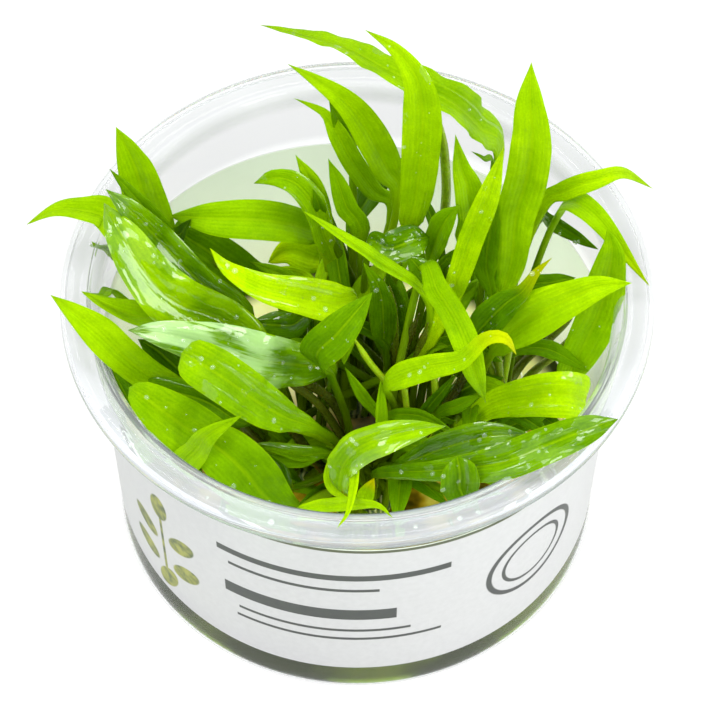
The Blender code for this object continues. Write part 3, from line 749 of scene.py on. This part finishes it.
def add_piece(name, mesh, material, slot, *nodes):
    mesh.materials.append(material)
    piece = add_object(name, mesh)
    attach(piece, "root")
    if nodes:
        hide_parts(*nodes)


def smooth_mesh(name, points, faces, crease=60):
    """A smooth mesh from points in millimetres."""
    mesh = bpy.data.meshes.new(name)
    mesh.from_pydata([Vector(point) * MM for point in points], [], faces)
    mesh.validate()
    mesh.shade_smooth()
    mesh.set_sharp_from_angle(angle=math.radians(crease))
    return mesh


def add_marks(mesh, **marks):
    """Values at a mesh's points, for its material to read."""
    for name, values in marks.items():
        mesh.attributes.new(name, "FLOAT", "POINT").data.foreach_set("value", values)


def add_uvs(mesh, places):
    layer = mesh.uv_layers.new(name="UVMap")
    for loop in mesh.loops:
        layer.data[loop.index].uv = places[loop.vertex_index]


def strip(first, second):
    """Faces between two rings of corners; corners that fall together leave triangles."""
    faces = []
    for step in range(len(first)):
        following = (step + 1) % len(first)
        corners = (first[step], first[following], second[following], second[step])
        face = list(dict.fromkeys(corners))
        if len(face) > 2:
            faces.append(face)
    return faces


def loft(count, size, inside_out=False):
    """Faces of a closed body from rings of equal size, with a cap on both ends."""
    rings = [range(first, first + size) for first in range(0, count * size, size)]
    faces = [face for pair in zip(rings, rings[1:]) for face in strip(*pair)]
    caps = [rings[0][::-1], rings[-1]]
    if inside_out:
        faces = [face[:1] + face[:0:-1] for face in faces]
        caps = [rings[0], rings[-1][::-1]]
    return faces + [list(cap) for cap in caps]


def circle(count, side, other):
    """Directions round a circle that two directions span."""
    angles = [FULL_TURN * step / count for step in range(count)]
    return [side * math.cos(angle) + other * math.sin(angle) for angle in angles]


def around(angle, reach, height, middle=(0, 0)):
    x, y = middle
    return Vector((x + reach * math.cos(angle), y + reach * math.sin(angle), height))


def keep_within(point, reach):
    if point.xy.length > reach:
        point.xy *= reach / point.xy.length


def turned(name, profile, closed=False, steps=ROUND_STEPS, lift=None):
    """Spins a profile of (radius, height) points; a radius of 0 makes one pole point.

    lift gives an extra height for an angle and a height, so that a band can run askew.
    """
    points = []
    rings = []
    for radius, height in profile:
        if radius == 0:
            rings.append([len(points)] * steps)
            points.append((0, 0, height))
            continue
        rings.append(range(len(points), len(points) + steps))
        for step in range(steps):
            angle = FULL_TURN * step / steps
            extra = lift(angle, height) if lift else 0.0
            points.append(around(angle, radius + extra * WALL_SLOPE, height + extra))
    if closed:
        rings.append(rings[0])
    faces = [face for lower, upper in zip(rings, rings[1:]) for face in strip(upper, lower)]
    return smooth_mesh(name, points, faces, 35)


def outer_wall(height):
    return BASE_RADIUS + (height - CORNER_HEIGHT) * WALL_SLOPE


def inner_wall(height):
    return outer_wall(height) - WALL


def make_cup(material):
    """The cup: the floor and wall from inside, the stepped flange and skirt, and back outside."""
    mesh = turned("cup_shell", [
        (0, 1.0), (35, 1.0), (37.2, 0.75), (38.8, 0.35), (40.1, 0.22), (40.62, 0.34),
        (41.1, 0.66), (41.42, 1.3), (41.57, 2.4), (41.45, 4), (41.2, 5.5), (inner_wall(10), 10),
        (inner_wall(30), 30), (inner_wall(56.2), 56.2), (43.45, 57.6), (43.9, 58.9),
        (44.35, 59.7), (44.75, 60.0), (45.2, 59.9), (45.55, 59.35), (46.1, 59.2), (46.9, 59.25),
        (47.3, 59.55), (48.3, 59.7), (49.1, 59.75), (49.7, 59.5), (50.0, 59.0), (50.0, 57.7),
        (49.8, 57.6), (49.3, 57.6), (49.2, 57.8), (49.15, 58.6), (48.8, 58.95), (47.4, 58.75),
        (46.9, 58.4), (45.9, 58.35), (45.2, 58.3), (44.7, 57.8), (outer_wall(56), 56.0),
        (outer_wall(30), 30), (outer_wall(7), 7), (41.55, 5.4), (41.75, 4), (41.85, 2.4),
        (41.7, 1.2), (41.3, 0.5), (40.7, 0.08), (39.8, 0.0), (38.0, 0.0), (37.0, 0.2),
        (36.2, 0.35), (20, 0.35), (0, 0.35),
    ])
    add_piece("cup_shell", mesh, material, "clear_plastic", "cup")


def make_label(material):
    """The paper band, whose edges run a little askew."""
    def share_up(height):
        return (height - LABEL_BOTTOM) / (LABEL_TOP - LABEL_BOTTOM)

    def lift(angle, height):
        side = math.cos(angle)
        upper = -LABEL_TILT * (side + math.sin(angle))
        lower = LABEL_SAG + LABEL_SAG * side**4 - side * abs(side)
        return lower + (upper - lower) * share_up(height)

    heights = (LABEL_BOTTOM, LABEL_MIDDLE, LABEL_TOP)
    inside = [(outer_wall(height) + GAP, height) for height in heights]
    outside = [(radius + LABEL_THICKNESS, height) for radius, height in reversed(inside)]
    profile = inside + outside
    mesh = turned("label_band", profile, closed=True, lift=lift)
    layer = mesh.uv_layers.new(name="UVMap")
    for polygon in mesh.polygons:
        for loop in polygon.loop_indices:
            point = mesh.vertices[mesh.loops[loop].vertex_index].co / MM
            turn = math.atan2(point.x, -point.y)
            if abs(turn) > 3 and turn * polygon.center.x < 0:
                turn -= math.copysign(FULL_TURN, turn)
            layer.data[loop].uv = (turn * LABEL_RADIUS, point.z)
    half = len(inside) * ROUND_STEPS
    add_marks(
        mesh,
        inner=[1.0] * half + [0.0] * half,
        rise=[share_up(height) for _, height in profile for _ in range(ROUND_STEPS)],
    )
    add_piece("label_band", mesh, material, "label_paper", "label")


def make_gel(material):
    """The gel puck: a wavy wet top that creeps up at the wall."""
    brim = inner_wall(GEL_TOP) - GEL_GAP
    mesh = turned("gel_puck", [(radius, GEL_TOP - 0.3) for radius in range(0, 40, 4)] + [
        (brim - 1.2, GEL_TOP - 0.25), (brim - 0.3, GEL_TOP - 0.05), (brim, GEL_TOP - 0.3),
        (inner_wall(10) - GEL_GAP, 10), (41.14, 5.5), (41.39, 4), (41.51, 2.42),
        (41.36, 1.33), (41.05, 0.71), (40.59, 0.4), (40.1, 0.29), (38.8, 0.42), (37.2, 0.82),
        (35, 1.07), (0, 1.07),
    ])
    for vertex in mesh.vertices:
        if vertex.co.z > (GEL_TOP - 0.5) * MM and vertex.co.xy.length < (brim - 1) * MM:
            vertex.co.z += GEL_WAVE * MM * noise.noise(vertex.co * 130)
    add_piece("gel_puck", mesh, material, "culture_gel", "culture_gel")


def make_crown(name, place, material):
    """A knobbly stub with rings of old leaf scars."""
    profile = [(CROWN_RADIUS * share, CROWN_BASE + rise) for share, rise in (
        (0, 0), (0.96, 0), (1, 0.4), (0.97, 1.0), (0.985, 1.4), (0.93, 2.0), (0.9, 2.35),
        (0.84, CROWN_HEIGHT), (0.4, CROWN_HEIGHT), (0, CROWN_HEIGHT),
    )]
    mesh = turned("crown_stub_" + name, profile, steps=48)
    x, y = place
    for vertex in mesh.vertices:
        if vertex.co.xy.length > CROWN_RADIUS * 0.6 * MM:
            knob = noise.noise(vertex.co * 900 + Vector((x, y, 0)) * 3)
            vertex.co.xy *= 1 - KNOB_DEPTH + KNOB_DEPTH * knob
    mesh.transform(Matrix.Translation((x * MM, y * MM, 0)))
    add_piece("crown_stub_" + name, mesh, material, "crown_flesh", "crown_" + name)


def foot_place(crown, number):
    """Leaves stand round a crown in a sunflower spiral, the natural order of a rosette."""
    reach = FOOT_SPACING * math.sqrt(number + FOOT_OFFSET)
    height = CROWN_BASE + CROWN_HEIGHT + FOOT_CLEARANCE
    return around(GOLDEN_ANGLE * number, reach, height, CROWNS[crown])


def smooth_point(points, position):
    """A point on the Catmull-Rom curve through the points; whole positions are the points."""
    last = len(points) - 1
    index = min(int(position), last - 1)
    part = position - index
    start, end = points[index], points[index + 1]
    before = points[index - 1] if index > 0 else start * 2 - end
    after = points[index + 2] if index + 2 <= last else end * 2 - start
    pull = (end - before) * part
    bend = (before * 2 - start * 5 + end * 4 - after) * part**2
    close = (start * 3 - before - end * 3 + after) * part**3
    return start + (pull + bend + close) / 2


def smooth_step(value):
    value = max(0.0, min(1.0, value))
    return value * value * (3 - 2 * value)


def line_length(line):
    return sum((end - start).length for start, end in zip(line, line[1:]))


def even_line(points, first, last, count):
    """Points at even steps along the curve between two positions, their places and the length."""
    samples = CURVE_SAMPLES * (last - first)
    fine = [smooth_point(points, first + step / CURVE_SAMPLES) for step in range(samples + 1)]
    lengths = [0.0]
    for start, end in zip(fine, fine[1:]):
        lengths.append(lengths[-1] + (end - start).length)
    line = []
    places = []
    index = 0
    for step in range(count + 1):
        goal = lengths[-1] * step / count
        while index < len(fine) - 2 and lengths[index + 1] < goal:
            index += 1
        share = min((goal - lengths[index]) / (lengths[index + 1] - lengths[index]), 1.0)
        line.append(fine[index].lerp(fine[index + 1], share))
        places.append((index + share) / CURVE_SAMPLES)
    return line, places, lengths[-1]


def headings(line):
    """The direction of a line at each of its points."""
    ahead = line[1:] + line[-1:]
    behind = line[:1] + line[:-1]
    return [(after - before).normalized() for after, before in zip(ahead, behind)]


def square_to(line, side):
    return (side - line * side.dot(line)).normalized()


def leaf_frames(row, line):
    """Across and upward directions at each station, carried from the blade's middle both ways."""
    along = headings(line)
    last = len(line) - 1
    middle = (STALK_RINGS + last) // 2
    facing = LIGHT_SIDE.cross(along[middle]).normalized()
    lean = math.radians(row["turn"])
    across = [None] * (last + 1)
    across[middle] = facing * math.cos(lean) + along[middle].cross(facing) * math.sin(lean)
    for index in range(middle + 1, last + 1):
        across[index] = square_to(along[index], across[index - 1])
    for index in range(middle - 1, -1, -1):
        across[index] = square_to(along[index], across[index + 1])
    return [(side, ahead.cross(side)) for side, ahead in zip(across, along)]


def blade_shape(share, peak):
    """Half width along a blade from 0 at its base to 1 at its widest and 0 at its tip."""
    power = math.log(0.5) / math.log(peak)
    full = 0.85 if share < peak else 0.95
    return max(0.0, math.sin(math.pi * share**power)) ** full


def half_width(row, widths, share, place):
    """Half the leaf's width at a share of its blade; below 0 is the stalk."""
    if share < 0:
        return STALK_HALF_WIDTH
    if not widths:
        shape = blade_shape(share, row["peak"])
        narrow = STALK_HALF_WIDTH if share < row["peak"] else 0
        return narrow + (row["width"] / 2 - narrow) * shape
    half = max(0.0, smooth_point([Vector((width, 0, 0)) for width in widths], place).x) / 2
    half = max(half, STALK_HALF_WIDTH * (1 - smooth_step(share * WIDENING)))
    if widths[-1] > 0:
        blunt = max(0.0, (share - BLUNT_FROM) / BLUNT_LENGTH)
        half *= math.sqrt(max(0.0, 1 - blunt**2.5))
    return half


def leaf_mesh(row, foot):
    """One closed leaf: rounded stalk, troughed blade with rippled margins and a thin edge."""
    blade = [Vector(point[:3]) for point in row["route"]]
    widths = [point[3] for point in row["route"] if len(point) > 3]
    shares = (NECK_REACH, NECK_REACH, NECK_RISE)
    neck = Vector([low + (high - low) * share for low, high, share in zip(foot, blade[0], shares)])
    whole = [foot, neck] + blade
    stalk = even_line(whole, 0, 2, STALK_RINGS)[0]
    count = max(FEWEST_BLADE_RINGS, min(MOST_BLADE_RINGS, round(line_length(blade) / BLADE_STEP)))
    line, places, length = even_line(whole, 2, len(whole) - 1, count)
    line = stalk[:-1] + line
    places = [0.0] * STALK_RINGS + places
    own = random.Random(row["name"])
    phases = [own.uniform(0, 6.28) for _ in range(6)]
    ripples = length / own.uniform(9, 13)
    ring_step = length / count * MM
    points = []
    marks = []
    uvs = []
    for index, (point, (across, up)) in enumerate(zip(line, leaf_frames(row, line))):
        share = (index - STALK_RINGS) / count
        half = max(half_width(row, widths, share, places[index]), THINNEST_HALF)
        open_share = smooth_step(share * OPENING)
        thinned = smooth_step(share * THINNING)
        thick = STALK_THICKNESS + (BLADE_THICKNESS - STALK_THICKNESS) * thinned
        thick = min(thick, half * THICKEST_SHARE)
        fold = math.radians(row["fold"]) * open_share * (1 - FOLD_LOSS * max(0.0, share))
        over = []
        below = []
        for u in ACROSS:
            side = abs(u)
            trough = (math.sqrt(side * side + 0.01) - 0.1) / (math.sqrt(1.01) - 0.1)
            lift = half * math.sin(fold) * trough
            lift += half * row["puff"] * 4 * side * (1 - side) * open_share
            phase = phases[0] if u < 0 else phases[1]
            second = FULL_TURN * ripples * SECOND_PACE * share + phases[2] + phase
            ripple = math.sin(FULL_TURN * ripples * share + phase)
            ripple += SECOND_RIPPLE * math.sin(second)
            lift += ripple * row["wave"] * RIPPLE_HEIGHT * half * side**RIPPLE_POWER * open_share
            body = thick * math.sqrt(max(0.0, 1 - side**EDGE_POWER))
            place = point + across * (half * math.cos(fold) * u)
            uv = (u * half * MM, index * ring_step)
            over.append((place + up * (lift + body * 0.5), (u, share, 0.0), uv))
            below.append((place + up * (lift - body * 0.5), (u, share, 1.0), uv))
        for corner, mark, uv in over + below[-2:0:-1]:
            points.append(corner)
            marks.append(mark)
            uvs.append(uv)
    mesh = smooth_mesh(row["name"], points, loft(len(line), RING_SIZE, inside_out=True), 80)
    across, along, under = zip(*marks)
    same = {name: [row[name]] * len(marks) for name in ("tone", "wet", "gold")}
    add_marks(mesh, across=across, along=along, under=under, **same)
    add_uvs(mesh, uvs)
    return mesh


def make_leaves(material):
    """All drawn leaves; gives back the wet ones with their meshes."""
    wet = []
    for crown, rows in LEAVES.items():
        for number, row in enumerate(rows):
            mesh = leaf_mesh(row, foot_place(crown, number))
            add_piece(row["name"] + "_skin", mesh, material, "leaf_green", row["name"])
            if row["wet"] >= WET_ENOUGH:
                wet.append((row, mesh))
    for number, (crown, row) in enumerate(SMALL_LEAVES):
        mesh = leaf_mesh(row, foot_place(crown, FIRST_SPARE_FOOT + number % 4))
        add_piece(row["name"], mesh, material, "leaf_green")
    return wet


def add_beads(name, spots, material):
    """Water beads from (middle, normal, radius): low domes sunk a little into the leaf."""
    points = []
    faces = []
    for middle, normal, radius in spots:
        side = normal.orthogonal().normalized()
        round_about = circle(BEAD_SIDES, side, normal.cross(side))
        rings = []
        for reach, rise in BEAD_RINGS:
            rings.append(range(len(points), len(points) + BEAD_SIDES))
            points += [middle + (out * reach + normal * rise) * radius for out in round_about]
        rings.append([len(points)] * BEAD_SIDES)
        points.append(middle + normal * BEAD_TOP * radius)
        faces += [face for pair in zip(rings, rings[1:]) for face in strip(*pair)]
        faces.append(list(rings[0][::-1]))
    add_piece(name, smooth_mesh(name, points, faces), material, "clear_plastic")


def make_beads(leaves, material):
    """Water beads on the wetter leaves and on the front of the flange."""
    for row, mesh in leaves:
        own = random.Random("beads " + row["name"])
        rings = len(mesh.vertices) // RING_SIZE
        spots = []
        for _ in range(round(FEWEST_BEADS + WET_BEADS * row["wet"])):
            first = own.randint(STALK_RINGS + 4, rings - 4) * RING_SIZE
            first += own.randint(1, len(ACROSS) - 3)
            corner, beside, ahead = [
                mesh.vertices[index].co / MM for index in (first, first + 1, first + RING_SIZE)
            ]
            normal = (ahead - corner).cross(beside - corner).normalized()
            radius = 0.14 + 0.4 * own.random() ** 3
            spots.append((corner.lerp(beside, own.random()), normal, radius))
        add_beads(row["name"].replace("leaf", "beads"), spots, material)
    own = random.Random("beads flange")
    spots = []
    for _ in range(FLANGE_BEADS):
        angle = math.radians(own.uniform(-160, -15))
        middle = around(angle, own.uniform(47.8, 49.0), FLANGE_TOP)
        spots.append((middle, Vector((0, 0, 1)), 0.2 + 0.4 * own.random() ** 2))
    add_beads("beads_flange", spots, material)


def make_fillers(material):
    """Low young leaves that fill the cup between the drawn ones, and keep a hollow free."""
    for number in range(FILLERS):
        crown = list(CROWNS)[number % len(CROWNS)]
        angle = dice.uniform(0, FULL_TURN)
        start = around(angle, dice.uniform(4, 18), dice.uniform(24, 42), CROWNS[crown])
        if -15 < start.x < 3 and -14 < start.y < -3:
            start.z = 20
        keep_within(start, 30)
        size = dice.uniform(9, 16)
        route = [start + around(angle, 1, 0) * size * out + Vector((0, 0, size * rise))
                 for out, rise in ((0, 0), (0.45, 0.45), (1, 0.5))]
        row = leaf("young_%02d" % number, *route, width=dice.uniform(2.2, 4.8),
                   tone=dice.uniform(0.2, 0.68), turn=dice.uniform(-40, 40))
        mesh = leaf_mesh(row, foot_place(crown, FIRST_SPARE_FOOT + number // len(CROWNS)))
        add_piece(row["name"], mesh, material, "leaf_green")


def tube_mesh(name, route, radius, sides=8, steps=40, end=0.3, start=1.0):
    """A round strand along a smooth route; start and end are shares of its radius."""
    line = even_line([Vector(point) for point in route], 0, len(route) - 1, steps)[0]
    side = Vector((0, 0, 1)).cross(line[1] - line[0]).normalized()
    points = []
    for index, (point, ahead) in enumerate(zip(line, headings(line))):
        side = square_to(ahead, side)
        size = radius * (1 + (end - 1) * index / steps)
        size *= start + (1 - start) * smooth_step(index / steps * 6)
        points += [point + out * size for out in circle(sides, side, ahead.cross(side))]
    return smooth_mesh(name, points, loft(steps + 1, sides))


def make_stalks(material):
    for name, (radius, tone, *route) in STALKS.items():
        name = "stalk_" + name
        mesh = tube_mesh(name, route, radius, STALK_SIDES, STALK_STEPS, end=1.15, start=0.2)
        add_marks(mesh, tone=[tone] * len(mesh.vertices))
        add_uvs(mesh, [(turn / STALK_SIDES, ring / STALK_STEPS)
                       for ring in range(STALK_STEPS + 1) for turn in range(STALK_SIDES)])
        add_piece(name, mesh, material, "leaf_green")


def make_roots(material):
    """Young white roots on the gel at the right side, where the photo shows them."""
    for number in range(ROOTS):
        middle = CROWNS["right" if number < RIGHT_ROOTS else "middle"]
        angle = math.radians(dice.uniform(-50, 30))
        height = GEL_TOP + 0.45
        route = [around(angle, 5.6, height + 1.6, middle)]
        reach = 6.0
        for _ in range(4):
            reach += dice.uniform(2.0, 3.4)
            angle += dice.uniform(-0.35, 0.35)
            point = around(angle, reach, 0, middle)
            keep_within(point, 38)
            point.z = height + dice.uniform(0.2, 1.2)
            route.append(point)
        name = "root_%d" % number
        mesh = tube_mesh(name, route, dice.uniform(0.3, 0.5))
        add_piece(name, mesh, material, "crown_flesh")


def make_floor():
    mesh = bpy.data.meshes.new("studio_floor")
    mesh.from_pydata([(-4, -4, 0), (4, -4, 0), (4, 4, 0), (-4, 4, 0)], [], [(0, 1, 2, 3)])
    mesh.materials.append(floor_material())
    add_object("studio_floor", mesh)


def make_lights(scene):
    """Even pale air, and soft boxes given by azimuth, elevation, size and power."""
    world = bpy.data.worlds.new("studio_air")
    world.use_nodes = True
    air = world.node_tree.nodes["Background"].inputs
    air["Color"].default_value = (0.97, 0.99, 1.0, 1.0)
    air["Strength"].default_value = 0.8
    scene.world = world
    target = Vector((0, 0, 0.055))
    for name, azimuth, elevation, size, power in (
        ("softbox_right", 98, 19, 0.52, 5.6),
        ("softbox_front", -166, 56, 0.55, 4.2),
        ("softbox_front_right", 145, 31, 0.30, 2.8),
        ("softbox_front_left", -145, 40, 0.28, 2.3),
        ("softbox_back", 15, 58, 0.36, 3.6),
        ("softbox_left", -80, 48, 0.34, 3.4),
    ):
        turn = math.radians(azimuth)
        rise = math.radians(elevation)
        place = Vector((math.sin(turn) * math.cos(rise), math.cos(turn) * math.cos(rise),
                        math.sin(rise))) * LAMP_DISTANCE + target
        data = bpy.data.lights.new(name, "AREA")
        data.shape = "SQUARE"
        data.size = size
        data.energy = power
        lamp = add_object(name, data)
        lamp.location = place
        lamp.rotation_euler = (target - place).to_track_quat("-Z", "Y").to_euler()


def make_camera(scene):
    """The photo's long lens, as found from the ellipses of the lip and the base."""
    data = bpy.data.cameras.new("camera")
    data.lens = 228.9
    data.sensor_width = 36.0
    data.sensor_fit = "HORIZONTAL"
    data.clip_start = 0.01
    camera = add_object("camera", data)
    camera.location = (0.0, -0.44997, 0.68390)
    camera.rotation_euler = [math.radians(angle) for angle in (34.939, -0.244, 0.280)]
    scene.camera = camera


def main():
    scene = bpy.context.scene
    make_cup(plastic_material())
    make_label(label_material())
    make_gel(gel_material())
    flesh = crown_material()
    for name, place in CROWNS.items():
        make_crown(name, place, flesh)
    green = leaf_material()
    make_beads(make_leaves(green), water_material())
    make_fillers(green)
    make_stalks(stalk_material())
    make_roots(root_material())
    make_floor()
    make_lights(scene)
    make_camera(scene)
    scene.view_settings.view_transform = "Standard"
    scene.view_settings.look = "None"
    scene.cycles.transparent_max_bounces = 24
    scene.cycles.max_bounces = 14
    scene.cycles.transmission_bounces = 10


main()
